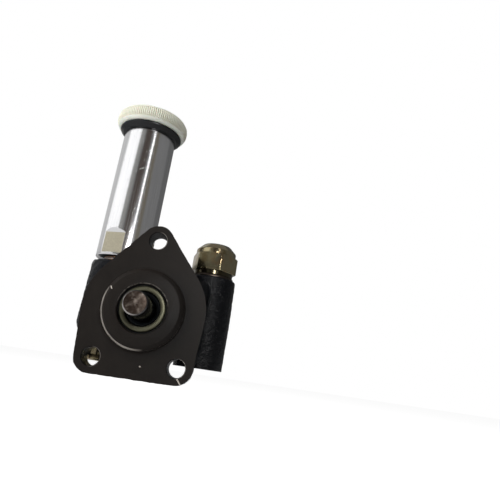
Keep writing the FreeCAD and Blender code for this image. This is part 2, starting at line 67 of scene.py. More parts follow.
# where things are, in millimetres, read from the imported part
primerAxis = axisMm("primer_barrel")
plugAxis = axisMm("valve_plug")
columnTop = boxMm("primer_washer")[0].z
washerTop = boxMm("primer_washer")[1].z
barrelTop = boxMm("primer_barrel")[1].z
barrelFoot = boxMm("primer_barrel")[0].z
bossFace = boxMm("housing")[0].y
housingRear = boxMm("chamber_washer")[0].y
plugWasherRear = boxMm("chamber_washer")[1].y
inletFace = boxMm("inlet_adapter")[0].z
ringLow, ringHigh = (corner.z for corner in boxMm("knob_ring"))
knobTop = boxMm("knob")[1].z
hubLow = boxMm("knob")[0].z
rodFoot = (0, 0, 0)
primerFoot = (primerAxis.x, primerAxis.y, 0)
plugFoot = (plugAxis.x, plugAxis.y, 0)
lowBolts = mounts["flange_bolts_low"]["dims"]
boltHole = lowBolts["hole_r_mm"]
boltPlaces = [  # (x, z) of the three flange holes
    (0, mountMm("flange_bolt_top").z),
    (-lowBolts["spacing_x_mm"] / 2, mountMm("flange_bolts_low").z),
    (lowBolts["spacing_x_mm"] / 2, mountMm("flange_bolts_low").z),
]


def looseEnds():  # back to object mode with nothing selected
    if bpy.context.object is not None and bpy.context.object.mode != "OBJECT":
        bpy.ops.object.mode_set(mode="OBJECT")
    bpy.ops.object.select_all(action="DESELECT")


def takeUp(piece):  # selects one piece and makes it active
    looseEnds()
    piece.select_set(True)
    bpy.context.view_layer.objects.active = piece


def settle(piece):  # the place goes into the mesh
    takeUp(piece)
    bpy.ops.object.transform_apply(location=True, rotation=True, scale=True)


def applied(piece, kind, **settings):
    takeUp(piece)
    modifier = piece.modifiers.new(kind.lower(), kind)
    for key, value in settings.items():
        setattr(modifier, key, value)
    bpy.ops.object.modifier_apply(modifier=modifier.name)


def softened(piece, width, angle=35, segments=2):
    applied(
        piece, "BEVEL", width=width * mm, segments=segments, limit_method="ANGLE",
        angle_limit=math.radians(angle), miter_outer="MITER_ARC",
    )


def smoothShaded(piece, angle=35):
    takeUp(piece)
    bpy.ops.object.shade_smooth_by_angle(angle=math.radians(angle))


def turnedPiece(name, profile, foot, along="Z", segments=96):
    # profile is (radius, height) from one open end to the other, or a loop that ends where it starts
    looseEnds()
    radius, height = profile[0]
    bpy.ops.mesh.primitive_circle_add(
        vertices=segments, radius=radius * mm, fill_type="NOTHING", location=(0, 0, height * mm)
    )
    piece = bpy.context.object
    piece.name = name
    settle(piece)
    bpy.ops.object.mode_set(mode="EDIT")
    bpy.ops.mesh.select_all(action="SELECT")
    for nextRadius, nextHeight in profile[1:]:
        rise = (nextHeight - height) * mm
        bpy.ops.mesh.extrude_edges_move(TRANSFORM_OT_translate={"value": (0, 0, rise)})
        if nextRadius != radius:
            share = nextRadius / radius
            bpy.ops.transform.resize(value=(share, share, 1), center_override=(0, 0, 0))
        radius, height = nextRadius, nextHeight
    bpy.ops.mesh.select_all(action="SELECT")
    bpy.ops.mesh.remove_doubles(threshold=0.002 * mm)
    if profile[0] != profile[-1]:
        bpy.ops.mesh.fill_holes(sides=0)
    bpy.ops.mesh.select_all(action="SELECT")
    bpy.ops.mesh.normals_make_consistent(inside=False)
    looseEnds()
    if along == "Y":
        piece.rotation_euler = (-math.pi / 2, 0, 0)
    piece.location = Vector(foot) * mm
    settle(piece)
    return piece


def combined(piece, others, operation):  # cuts, joins or keeps the common part, and uses the others up
    for other in others:
        applied(piece, "BOOLEAN", operation=operation, object=other, solver="EXACT")
        bpy.data.objects.remove(other)
    return piece


def hexBar(name, flats, low, high, axis, turn, along="Z", plainFoot=False):
    # a hexagon head whose corners are turned off at 30 degrees; turn is the bearing of a corner from +X
    corner = flats / math.sqrt(3)
    looseEnds()
    bpy.ops.mesh.primitive_cylinder_add(
        vertices=6, radius=corner * mm, depth=(high - low) * mm, location=(0, 0, (low + high) / 2 * mm),
        rotation=(0, 0, math.radians(turn + 30)),
    )
    piece = bpy.context.object
    piece.name = name
    settle(piece)
    inner, outer = flats / 2 - 0.15, corner + 0.1  # from inside the flats to past the corners
    drop = (outer - inner) * math.tan(math.radians(30))
    profile = [(outer, low - 1)] if plainFoot else [(inner, low), (outer, low + drop)]
    profile += [(outer, high - drop), (inner, high)]
    envelope = turnedPiece(name + "Turning", profile, (0, 0, 0), segments=120)
    combined(piece, [envelope], "INTERSECT")
    if along == "Y":
        piece.rotation_euler = (-math.pi / 2, 0, 0)
    piece.location = Vector(axis) * mm
    settle(piece)
    return piece


def threadedBar(name, crest, root, pitch, low, high, axis):
    # a round bar with a V thread, used as a male thread or as the tap that cuts a female one
    looseEnds()
    turns = math.ceil((high - low) / pitch) + 3
    steps = 48 * turns
    start = low - 1.5 * pitch
    bpy.ops.mesh.primitive_plane_add(size=pitch * mm, location=(root * mm, 0, start * mm))
    piece = bpy.context.object
    piece.name = name
    settle(piece)
    bpy.ops.object.mode_set(mode="EDIT")
    bpy.ops.mesh.select_all(action="SELECT")
    bpy.ops.mesh.merge(type="CENTER")
    climbs = [(0, 0.12), (crest - root, 0.32), (0, 0.12), (root - crest, 0.44)]  # out, and up in pitches
    for out, rise in climbs:
        step = (out * mm, 0, rise * pitch * mm)
        bpy.ops.mesh.extrude_vertices_move(TRANSFORM_OT_translate={"value": step})
    looseEnds()
    applied(
        piece, "SCREW", angle=2 * math.pi * turns, screw_offset=pitch * mm * turns, iterations=1,
        steps=steps, render_steps=steps, use_merge_vertices=False, axis="Z",
    )
    takeUp(piece)
    bpy.ops.object.mode_set(mode="EDIT")
    bpy.ops.mesh.select_all(action="SELECT")
    bpy.ops.mesh.remove_doubles(threshold=0.004 * mm)
    bpy.ops.mesh.select_all(action="SELECT")
    bpy.ops.mesh.bisect(
        plane_co=(0, 0, high * mm), plane_no=(0, 0, 1), clear_outer=True, use_fill=True
    )
    bpy.ops.mesh.select_all(action="SELECT")
    bpy.ops.mesh.bisect(
        plane_co=(0, 0, low * mm), plane_no=(0, 0, -1), clear_outer=True, use_fill=True
    )
    bpy.ops.mesh.select_all(action="SELECT")
    bpy.ops.mesh.normals_make_consistent(inside=False)
    looseEnds()
    piece.location = Vector((axis[0], axis[1], 0)) * mm
    settle(piece)
    return piece


class Wire:  # a shader socket that can stand in a Python expression
    def __init__(self, tree, socket):
        self.tree = tree
        self.socket = socket

    def math(self, operation, *values, clamp=False):
        node = self.tree.nodes.new("ShaderNodeMath")
        node.operation = operation
        node.use_clamp = clamp
        for place, value in enumerate(values):
            feed(self.tree, node.inputs[place], value)
        return Wire(self.tree, node.outputs[0])

    def __add__(self, other):
        return self.math("ADD", self, other)

    def __sub__(self, other):
        return self.math("SUBTRACT", self, other)

    def __rsub__(self, other):
        return self.math("SUBTRACT", other, self)

    def __mul__(self, other):
        return self.math("MULTIPLY", self, other)

    def __truediv__(self, other):
        return self.math("DIVIDE", self, other)

    def __pow__(self, other):
        return self.math("POWER", self, other)

    __radd__ = __add__
    __rmul__ = __mul__

    def absolute(self):
        return self.math("ABSOLUTE", self)

    def clamped(self):
        return self.math("ADD", self, 0.0, clamp=True)

    def above(self, edge, soft):  # 0 below the edge, 1 above it
        return self.math("MULTIPLY_ADD", self - edge, 1 / soft, 0.5, clamp=True)

    def below(self, edge, soft):
        return 1 - self.above(edge, soft)

    def between(self, low, high, soft):
        return self.above(low, soft) * self.below(high, soft)


def feed(tree, socket, value):
    if isinstance(value, Wire):
        tree.links.new(value.socket, socket)
    elif isinstance(value, (tuple, list)) and len(value) == 3 and len(socket.default_value) == 4:
        socket.default_value = (*value, 1.0)
    else:
        socket.default_value = value


class Finish:  # one procedural material
    def __init__(self, name, **plain):
        self.material = bpy.data.materials.new(name)
        self.material.use_nodes = True
        self.tree = self.material.node_tree
        self.shader = self.tree.nodes["Principled BSDF"]
        for socket, value in plain.items():
            self.set(socket.replace("_", " "), value)

    def set(self, socket, value):
        feed(self.tree, self.shader.inputs[socket], value)

    def node(self, kind, settings, inputs, output=0):
        node = self.tree.nodes.new(kind)
        for key, value in settings.items():
            if key == "stops":
                ramp = node.color_ramp
                while len(ramp.elements) < len(value):
                    ramp.elements.new(0.5)
                for element, (position, colour) in zip(ramp.elements, value):
                    element.position = position
                    element.color = (*colour, 1.0)
            else:
                setattr(node, key, value)
        for socket, value in inputs.items():
            feed(self.tree, node.inputs[socket], value)
        return Wire(self.tree, node.outputs[output])

    def place(self):  # object coordinates in millimetres
        raw = self.node("ShaderNodeTexCoord", {}, {}, output="Object")
        return self.node("ShaderNodeVectorMath", {"operation": "SCALE"}, {0: raw, "Scale": 1 / mm})

    def split(self, vector):
        return [self.node("ShaderNodeSeparateXYZ", {}, {0: vector}, output=axis) for axis in "XYZ"]

    def noise(self, vector, size, detail=3.0, roughness=0.55, stretch=(1, 1, 1)):
        if stretch != (1, 1, 1):
            vector = self.node("ShaderNodeMapping", {}, {"Vector": vector, "Scale": stretch})
        inputs = {"Vector": vector, "Scale": 1 / size, "Detail": detail, "Roughness": roughness}
        return self.node("ShaderNodeTexNoise", {}, inputs)

    def pits(self, vector, size):
        return self.node("ShaderNodeTexVoronoi", {}, {"Vector": vector, "Scale": 1 / size})

    def mixed(self, factor, first, second):
        settings = {"data_type": "RGBA", "clamp_factor": True}
        return self.node("ShaderNodeMix", settings, {0: factor, 6: first, 7: second}, output=2)

    def bump(self, height, depth, strength=1.0):
        inputs = {"Height": height, "Distance": depth * mm, "Strength": strength}
        self.set("Normal", self.node("ShaderNodeBump", {}, inputs))

    def around(self, axis, vector):  # distance from an upright axis
        x, y = self.split(vector)[:2]
        return ((x - axis.x) ** 2 + (y - axis.y) ** 2) ** 0.5


# colours of the finishes, the darker one first where a finish has two
tints = {
    "paint": ((0.0016, 0.0021, 0.0034), (0.0032, 0.0038, 0.0054)),
    "machinedIron": ((0.0080, 0.0060, 0.0048), (0.0130, 0.0100, 0.0078)),
    "bareIronAndHighlight": (0.62, 0.57, 0.51),
    "hexShade": (0.035, 0.030, 0.020),
    "turned": ((0.64, 0.64, 0.65), (0.82, 0.82, 0.83)),
    "milled": ((0.47, 0.43, 0.33), (0.64, 0.60, 0.47)),
    "cream": ((0.74, 0.76, 0.67), (0.80, 0.82, 0.73)),
    "knurl": (0.78, 0.77, 0.65),
    "knurlValleyTone": (0.50, 0.47, 0.34),
    "rubber": ((0.0035, 0.0045, 0.0055), (0.0075, 0.0085, 0.0095)),
    "rodEnd": ((0.034, 0.024, 0.019), (0.26, 0.22, 0.19)),
    "rodSide": ((0.030, 0.030, 0.032), (0.060, 0.060, 0.062)),
    "rodRimHighlight": (0.42, 0.40, 0.39),
    "copper": ((0.50, 0.28, 0.16), (0.62, 0.38, 0.24)),
    # near-black copper for the valve plug's washer: painted shade under the plug's hexagon
    "shadedCopper": ((0.03, 0.025, 0.02), (0.07, 0.055, 0.045)),
    "brass": ((0.52, 0.40, 0.18), (0.62, 0.50, 0.26)),
    "steel": ((0.36, 0.36, 0.37), (0.48, 0.48, 0.49)),
    "ring": ((0.085, 0.082, 0.052), (0.115, 0.112, 0.080)),
}

# knocks on the flange face: from (x, z) to (x, z), and how wide
scars = [
    ((20.7, -28.4), (23.0, -31.2), 0.28),
    ((3.3, -25.8), (3.5, -25.8), 0.30),
    ((-16.4, 8.3), (-15.5, 7.0), 0.22),
]


def lowerLeft(x, z, radial):  # 1 straight to the lower left of the rod's axis, -1 to the upper right
    return (x * -0.79 - z * 0.61) / radial


def castingFinish():
    # black paint on rough iron, and a dark phosphated face where the flange is machined; unpainted-iron
    # colour is painted as highlights on the boss chamfer, the seal bore's edge and the bolt holes' edges,
    # and it also marks the real knocks on the face
    finish = Finish("castingFinish")
    finish.set("Specular IOR Level", 0.14)
    place = finish.place()
    x, y, z = finish.split(place)
    front = y.below(0.12, 0.1)
    radial = (x ** 2 + z ** 2) ** 0.5
    clouds = finish.noise(place, 9.0, 4.0, 0.6)
    grain = finish.noise(place, 0.9, 4.0, 0.65)
    fine = finish.noise(place, 0.35, 2.0, 0.5)
    facing = finish.noise(place, 0.5, 2.0, 0.5)
    paint = finish.mixed(clouds, *tints["paint"])
    stain = clouds.above(0.52, 0.35) * 0.6 + grain.above(0.6, 0.3) * 0.25
    dark = finish.mixed(stain, *tints["machinedIron"])
    # painted highlight: unpainted-iron colour on the lower-left part of the boss chamfer, the side the
    # light comes from
    highlightSide = lowerLeft(x, z, radial).above(0.68, 0.5)
    boss, bore = casting["bossRadius"], casting["sealRadius"]
    bevel = radial.between(boss - 0.8, boss + 0.12, 0.3) * y.below(-3.45, 0.1)
    # painted highlight: unpainted-iron colour along the upper part of the seal bore's edge
    boreEdgeHighlight = radial.between(bore + 0.02, bore + 0.45, 0.08) * y.below(-4.9, 0.1) * z.above(3.0, 8.0)
    # a worn, unpainted line round the chamfer's outer edge, which also serves as a thin painted highlight
    wornEdgeAndGlint = radial.between(boss - 0.2, boss + 0.12, 0.1) * y.between(-3.9, -3.3, 0.1)
    # this mask carries painted highlights, and the knocks added further down are real marks
    bareAndHighlight = bevel * highlightSide + (wornEdgeAndGlint + boreEdgeHighlight) * grain.above(0.5, 0.2) * 0.35
    for holeX, holeZ in boltPlaces:
        reach = ((x - holeX) ** 2 + (z - holeZ) ** 2) ** 0.5
        edge = reach.between(boltHole + 0.02, boltHole + 0.36, 0.04) * y.below(0.34, 0.04)
        # painted highlight: unpainted-iron colour on the right side of each bolt hole's chamfer only
        bareAndHighlight = bareAndHighlight + edge * ((x - holeX) / boltHole).above(0.3, 0.8) * 0.7
    for (startX, startZ), (endX, endZ), width in scars:
        run = Vector((endX - startX, 0, endZ - startZ))
        along = (((x - startX) * run.x + (z - startZ) * run.z) / run.length_squared).clamped()
        off = ((x - startX - along * run.x) ** 2 + (z - startZ - along * run.z) ** 2) ** 0.5
        bareAndHighlight = bareAndHighlight + (off + (grain - 0.5) * width).below(width, width * 0.4) * y.below(0.05, 0.02)
    bareAndHighlight = (bareAndHighlight * front).clamped()
    dark = finish.mixed(bareAndHighlight, dark, tints["bareIronAndHighlight"])
    finish.set("Base Color", finish.mixed(front, paint, dark))
    finish.set("Metallic", bareAndHighlight)
    satin = 0.46 + clouds * 0.16 - bareAndHighlight * 0.24
    gloss = 0.04 + grain * 0.09
    finish.set("Roughness", satin * front + gloss * (1 - front))
    rough = grain * 0.75 + fine * 0.25
    turning = facing * 0.06 + fine * 0.05
    finish.bump(rough * (1 - front) + turning * front, 0.50, 1.0)
    return finish.material


def zincFinish():
    # olive-gold passivated zinc, with painted shade darkening the valve plug's collar under its hexagon
    finish = Finish("zincFinish", Metallic=1.0)
    place = finish.place()
    y, z = finish.split(place)[1:]
    tint = finish.noise(place, 7.0, 3.0, 0.5)
    fine = finish.noise(place, 0.5, 3.0, 0.6)
    stops = [
        (0.30, (0.24, 0.19, 0.10)),
        (0.48, (0.32, 0.285, 0.18)),
        (0.62, (0.32, 0.235, 0.13)),
        (0.75, (0.30, 0.29, 0.20)),
    ]
    zinc = finish.node("ShaderNodeValToRGB", {"stops": stops}, {0: tint})
    # painted shade: near-black colour on the collar under the hexagon, where shade falls
    hexShade = z.between(washerTop - 0.5, washerTop + valvePlug["collarHeight"] + 0.02, 0.1)
    hexShade = hexShade * y.below(plugAxis.y + 14.0, 0.5) * y.above(5.0, 0.5)
    finish.set("Base Color", finish.mixed(hexShade * 0.9, zinc, tints["hexShade"]))
    finish.set("Roughness", 0.12 + fine * 0.10)
    finish.bump(fine, 0.02, 0.6)
    return finish.material


def barrelFinish():
    # bright turned aluminium, with matt milled spanner flats
    finish = Finish("barrelFinish", Metallic=1.0)
    place = finish.place()
    z = finish.split(place)[2]
    reach = finish.around(primerAxis, place)
    low = washerTop + barrel["neckHeight"] + barrel["lipHeight"]
    milled = reach.below(barrel["radius"] - 0.12, 0.06) * reach.above(barrel["boreRadius"] + 0.7, 0.1)
    milled = milled * z.between(low, low + barrel["flatHeight"], 0.1)
    turning = finish.noise(place, 0.5, 3.0, 0.6, stretch=(0.15, 0.15, 3.0))
    # lengthwise stripes: random tone in the aluminium that also stands in for painted reflection bands
    # along the barrel
    streaksAndSheen = finish.noise(place, 0.7, 3.0, 0.6, stretch=(1.0, 1.0, 0.03))
    specks = finish.pits(place, 1.3)
    dents = specks.below(0.13, 0.1) * finish.noise(place, 4.0).above(0.5, 0.1)
    grain = finish.noise(place, 0.6, 4.0, 0.7)
    bright = finish.mixed(streaksAndSheen, *tints["turned"])
    matt = finish.mixed(grain.above(0.5, 0.4), *tints["milled"])
    finish.set("Base Color", finish.mixed(milled, bright, matt))
    gloss = 0.11 + turning * 0.05 + streaksAndSheen * 0.06
    finish.set("Roughness", gloss * (1 - milled) + (0.50 + grain * 0.15) * milled)
    finish.bump((turning * 0.12 - dents * 1.2) * (1 - milled) + grain * 0.9 * milled, 0.05, 1.0)
    return finish.material


def plasticFinish():
    # cream moulded plastic, a little yellowed in the knurl
    finish = Finish("plasticFinish", Metallic=0.0, Subsurface_Weight=0.08, Subsurface_Scale=0.002)
    place = finish.place()
    clouds = finish.noise(place, 12.0, 3.0, 0.5)
    fine = finish.noise(place, 0.8, 3.0, 0.6)
    reach = finish.around(primerAxis, place)
    z = finish.split(place)[2]
    knurled = z.between(ringHigh + knob["knurlFoot"], knobTop - 1.2, 0.4)
    # darker, browner colour in the knurl's valleys and where the rim curves under
    knurlValleyTone = reach.between(knob["knurlRadius"] - 0.4, knob["radius"] - 0.15, 0.25) * knurled * 0.4
    cream = finish.mixed(clouds, *tints["cream"])
    cream = finish.mixed(knurled * 0.5, cream, tints["knurl"])
    finish.set("Base Color", finish.mixed(knurlValleyTone, cream, tints["knurlValleyTone"]))
    finish.set("Roughness", 0.30 + fine * 0.12)
    finish.bump(fine, 0.02, 0.5)
    return finish.material


def rubberFinish():
    finish = Finish("rubberFinish", Metallic=0.0)
    place = finish.place()
    fine = finish.noise(place, 0.7, 3.0, 0.6)
    finish.set("Specular IOR Level", 0.3)
    finish.set("Base Color", finish.mixed(fine, *tints["rubber"]))
    finish.set("Roughness", 0.20 + fine * 0.2)
    finish.bump(fine, 0.03, 0.5)
    return finish.material


def rodFinish():
    # dark hardened rod, its end scuffed by the cam, with a painted highlight on the lower left of the end's
    # chamfer
    finish = Finish("rodFinish", Metallic=1.0)
    place = finish.place()
    x, y, z = finish.split(place)
    tip = boxMm("push_rod")[0].y
    end = y.below(tip + 0.3, 0.2)
    radial = (x ** 2 + z ** 2) ** 0.5
    clouds = finish.noise(place, 2.2, 4.0, 0.65)
    fine = finish.noise(place, 0.4, 3.0, 0.6)
    scratch = clouds.above(0.58, 0.25) * 0.2
    patchy = finish.noise(place, 1.6, 2.0, 0.5)
    for startX, slope, width in rod["smears"]:
        off = (x - startX - z * slope).absolute() + (clouds - 0.5) * 4.0
        scratch = scratch + off.below(width, width * 1.6) * patchy.above(0.50, 0.25) * 0.5
    scuffed = finish.mixed(scratch.clamped(), *tints["rodEnd"])
    ground = finish.mixed(fine, *tints["rodSide"])
    # painted highlight: the end's chamfer is pale mostly on the lower left, the side the light comes from
    highlightSide = lowerLeft(x, z, radial + 0.01).above(0.55, 0.6) * 0.9 + 0.1
    rimHighlight = radial.above(rod["radius"] - rod["chamfer"], 0.1) * y.below(tip + rod["chamfer"] + 0.1, 0.1)
    rimHighlight = rimHighlight * highlightSide
    colour = finish.mixed(rimHighlight, finish.mixed(end, ground, scuffed), tints["rodRimHighlight"])
    finish.set("Base Color", colour)
    finish.set("Roughness", 0.20 + fine * 0.1 + end * 0.2 - rimHighlight * 0.1)
    finish.bump(clouds * end + fine * 0.2, 0.05, 0.8)
    return finish.material


def plainMetalFinish(tint, roughness, size=0.8):
    finish = Finish(tint + "Finish", Metallic=1.0)
    place = finish.place()
    grain = finish.noise(place, size, 4.0, 0.6)
    finish.set("Base Color", finish.mixed(grain, *tints[tint]))
    finish.set("Roughness", roughness + grain * 0.12)
    finish.bump(grain, 0.02, 0.6)
    return finish.material


def dress(piece, material, body, slot, *nodes):
    piece.data.materials.clear()
    piece.data.materials.append(material)
    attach(piece, body)
    if nodes:
        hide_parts(*nodes)
    return piece


# primer barrel: turned, with four milled flats and a thread in its mouth
barrel = {
    "radius": 14.6, "neckRadius": 10.2, "neckHeight": 1.2, "lipHeight": 1.5, "flatHeight": 11.3,
    "flatRamp": 2.2, "flats": 26.6, "flatTurn": -17.5, "boreRadius": 11.5, "threadRadius": 12.1,
    "threadDepth": 9.0, "threadPitch": 1.5, "threadGroove": 0.6, "studRadius": 8.95, "portRadius": 2.5,
    "pocketRadius": 4.2, "pocketDepth": 2.0, "floor": 2.0,
}


def primerBarrel(material):
    size = barrel
    lip = washerTop + size["neckHeight"]
    flatLow = lip + size["lipHeight"]
    floor = flatLow + size["flatHeight"] + size["floor"]
    mouth = barrelTop - size["threadDepth"]
    outer = size["radius"]
    profile = [
        (size["pocketRadius"], barrelFoot),
        (size["studRadius"] - 0.6, barrelFoot),
        (size["studRadius"], barrelFoot + 0.6),
        (size["studRadius"], washerTop),
        (size["neckRadius"] - 0.15, washerTop),
        (size["neckRadius"], washerTop + 0.15),
        (size["neckRadius"], lip - 0.6),
        (size["neckRadius"] + 0.4, lip - 0.4),
        (outer - 0.8, lip),
        (outer - 0.3, lip + 0.2),
        (outer, lip + 0.6),
        (outer, barrelTop - 0.5),
        (outer - 0.12, barrelTop - 0.15),
        (outer - 0.45, barrelTop),
        (size["threadRadius"] + 0.5, barrelTop),
        (size["threadRadius"], barrelTop - 0.5),
        (size["threadRadius"], mouth),
        (size["boreRadius"], mouth - 0.6),
        (size["boreRadius"], floor),
        (size["portRadius"], floor),
        (size["portRadius"], barrelFoot + size["pocketDepth"]),
        (size["pocketRadius"], barrelFoot + size["pocketDepth"]),
        (size["pocketRadius"], barrelFoot),
    ]
    piece = turnedPiece("barrel", profile, primerFoot, segments=144)
    width, depth = 30.0, 5.0  # of the block that mills a flat
    for quarter in range(4):
        looseEnds()
        bpy.ops.mesh.primitive_cube_add(size=1, location=(0, 0, 0))
        cutter = bpy.context.object
        cutter.scale = (width * mm, depth * mm, size["flatHeight"] * mm)
        middle = flatLow + size["flatHeight"] / 2
        cutter.location = (0, -(size["flats"] + depth) / 2 * mm, middle * mm)
        settle(cutter)
        for vertex in cutter.data.vertices:  # the outer top edge rises, so the flat ends in a ramp
            vertex.select = vertex.co.y < -(size["flats"] / 2 + 1) * mm and vertex.co.z > (flatLow + 1) * mm
        for edge in cutter.data.edges:
            edge.select = all(cutter.data.vertices[v].select for v in edge.vertices)
        for face in cutter.data.polygons:
            face.select = False
        rise = size["flatRamp"] * depth / (outer - size["flats"] / 2)
        bpy.ops.object.mode_set(mode="EDIT")
        bpy.ops.transform.translate(value=(0, 0, rise * mm))
        looseEnds()
        cutter.rotation_euler = (0, 0, math.radians(size["flatTurn"] + 90 * quarter))
        cutter.location = Vector(primerFoot) * mm
        settle(cutter)
        combined(piece, [cutter], "DIFFERENCE")
    tap = threadedBar(
        "mouthTap", size["threadRadius"] + size["threadGroove"], size["threadRadius"] - 0.05,
        size["threadPitch"], mouth, barrelTop + 1, primerAxis,
    )
    combined(piece, [tap], "DIFFERENCE")
    smoothShaded(piece, 30)
    return dress(piece, material, "root", "bright_barrel", "primer_barrel")


# knob: a mushroom of cream plastic, its rim knurled down to where it curves under
knob = {
    "radius": 20.3, "underRadius": 17.4, "underHeight": 2.4, "rimHeight": 4.2, "ridges": 112,
    "ridgeDepth": 0.42, "knurlFoot": 1.5, "knurlRadius": 19.45, "dish": 1.0, "dishRadius": 6.0,
    "hubRadius": 11.9, "threadRoot": 11.3, "rodRadius": 4.0, "rodDepth": 2.5,
}


def primerKnob(material):
    size = knob
    low = ringHigh
    rimLow = low + size["underHeight"]
    rimTop = rimLow + size["rimHeight"]
    outer = size["radius"]
    profile = [
        (size["threadRoot"] - 0.3, low - 1.2),
        (size["threadRoot"] - 0.3, low),
        (size["underRadius"], low),
        (size["underRadius"] + 0.9, low + 0.25),
        (size["knurlRadius"] - 0.25, low + size["knurlFoot"] - 0.5),
        (size["knurlRadius"] + 0.05, low + size["knurlFoot"]),
        (size["knurlRadius"] + 0.1, low + size["knurlFoot"] + 0.15),
        (outer - 0.2, rimLow + 0.3),
        (outer, rimLow + 1.3),
        (outer, rimTop - 1.2),
        (outer - 0.2, rimTop - 0.2),
        (outer - 0.55, rimTop + 0.35),
        (outer - 0.95, rimTop + 0.85),
        (outer - 1.5, knobTop - 0.5),
        (outer - 2.1, knobTop - 0.08),
        (outer - 2.7, knobTop),
        (outer - 3.4, knobTop - 0.12),
        (outer - 4.3, knobTop - 0.8),
        (outer - 5.1, knobTop - size["dish"]),
        (size["dishRadius"], knobTop - size["dish"]),
        (size["dishRadius"] - 0.8, knobTop - size["dish"] - 0.35),
    ]
    piece = turnedPiece("knobBody", profile, (0, 0, 0), segments=size["ridges"] * 4)
    step = math.pi / (size["ridges"] * 2)
    lowest = (low + size["knurlFoot"] + 0.1) * mm
    highest = (rimTop + 0.6) * mm
    takeUp(piece)
    for vertex in piece.data.vertices:  # two of each four upright lines become the valleys
        angle = math.atan2(vertex.co.y, vertex.co.x) / step
        line = round(angle) % 4
        atRim = vertex.co.xy.length > size["knurlRadius"] * mm and lowest < vertex.co.z < highest
        vertex.select = atRim and line in (0, 1)
    for edge in piece.data.edges:
        edge.select = all(piece.data.vertices[v].select for v in edge.vertices)
    for face in piece.data.polygons:
        face.select = all(piece.data.vertices[v].select for v in face.vertices)
    bpy.ops.object.mode_set(mode="EDIT")
    share = 1 - size["ridgeDepth"] / outer
    bpy.ops.transform.resize(value=(share, share, 1), center_override=(0, 0, 0))
    looseEnds()
    piece.location = Vector(primerFoot) * mm
    settle(piece)
    hub = threadedBar(
        "hubThread", size["hubRadius"], size["threadRoot"], barrel["threadPitch"],
        hubLow, low - 0.8, primerAxis,
    )
    combined(piece, [hub], "UNION")
    rodHole = [(size["rodRadius"], hubLow - 2), (size["rodRadius"], rimLow + size["rodDepth"])]
    bar = turnedPiece("rodHole", rodHole, primerFoot, segments=48)
    combined(piece, [bar], "DIFFERENCE")
    smoothShaded(piece, 40)
    return dress(piece, material, "knob", "cream_plastic", "knob")


# black rubber ring between the knob and the barrel
knobRing = {"radius": 17.75, "lowRadius": 16.0, "inner": 12.2}


def rubberRing(material):
    size = knobRing
    low, high = ringLow, ringHigh
    profile = [
        (size["inner"], low + 0.3),
        (size["inner"] + 0.3, low),
        (size["lowRadius"] - 1.0, low),
        (size["lowRadius"] - 0.4, low + 0.12),
        (size["lowRadius"] - 0.05, low + 0.5),
        (size["lowRadius"] + 0.25, low + 1.1),
        (size["radius"] - 0.35, high - 1.5),
        (size["radius"] - 0.05, high - 0.95),
        (size["radius"] - 0.02, high - 0.55),
        (size["radius"] - 0.3, high - 0.15),
        (size["radius"] - 0.8, high - 0.01),
        (size["inner"], high - 0.01),
        (size["inner"], low + 0.3),
    ]
    piece = turnedPiece("knobRubber", profile, primerFoot, segments=144)
    smoothShaded(piece, 40)
    return dress(piece, material, "knob", "black_rubber", "knob_ring")


# valve plug: a hexagon with a turned crown, a broad shoulder and a nearly flat top
valvePlug = {
    "flats": 22.0, "turn": 17.0, "collarRadius": 10.7, "collarHeight": 2.4, "hexHeight": 9.7,
    "crown": 2.4, "shoulder": 3.3, "topRadius": 7.4, "dome": 0.3, "domeRadius": 4.0, "centreMark": 0.6,
    "studRadius": 8.95, "boreRadius": 5.2, "boreDepth": 2.0,
}


def coverPlug(material):
    size = valvePlug
    hexLow = washerTop + size["collarHeight"]
    hexTop = hexLow + size["hexHeight"]
    shoulder = hexTop + size["crown"]
    top = shoulder + size["shoulder"]
    crown = size["flats"] / 2 - 0.05
    profile = [
        (size["boreRadius"], barrelFoot + size["boreDepth"]),
        (size["boreRadius"], barrelFoot),
        (size["studRadius"], barrelFoot),
        (size["studRadius"], washerTop),
        (size["collarRadius"] - 0.3, washerTop),
        (size["collarRadius"], washerTop + 0.3),
        (size["collarRadius"], hexLow + 0.5),
        (crown - 0.25, hexLow + 0.5),
        (crown - 0.25, hexTop - 0.6),
        (crown, hexTop - 0.2),
        (crown, shoulder - 0.5),
        (crown - 0.12, shoulder - 0.12),
        (crown - 0.4, shoulder + 0.2),
        (size["topRadius"] + 0.5, top - 0.45),
        (size["topRadius"] + 0.05, top - 0.12),
        (size["topRadius"] - 0.6, top),
        (size["domeRadius"], top + size["dome"] - 0.08),
        (size["centreMark"], top + size["dome"]),
    ]
    piece = turnedPiece("coverPlug", profile, plugFoot, segments=120)
    head = hexBar("plugHex", size["flats"], hexLow, hexTop, plugFoot, size["turn"] - 90, plainFoot=True)
    softened(head, 0.2, 45, 3)
    combined(piece, [head], "UNION")
    smoothShaded(piece, 32)
    return dress(piece, material, "root", "yellow_zinc", "valve_plug")


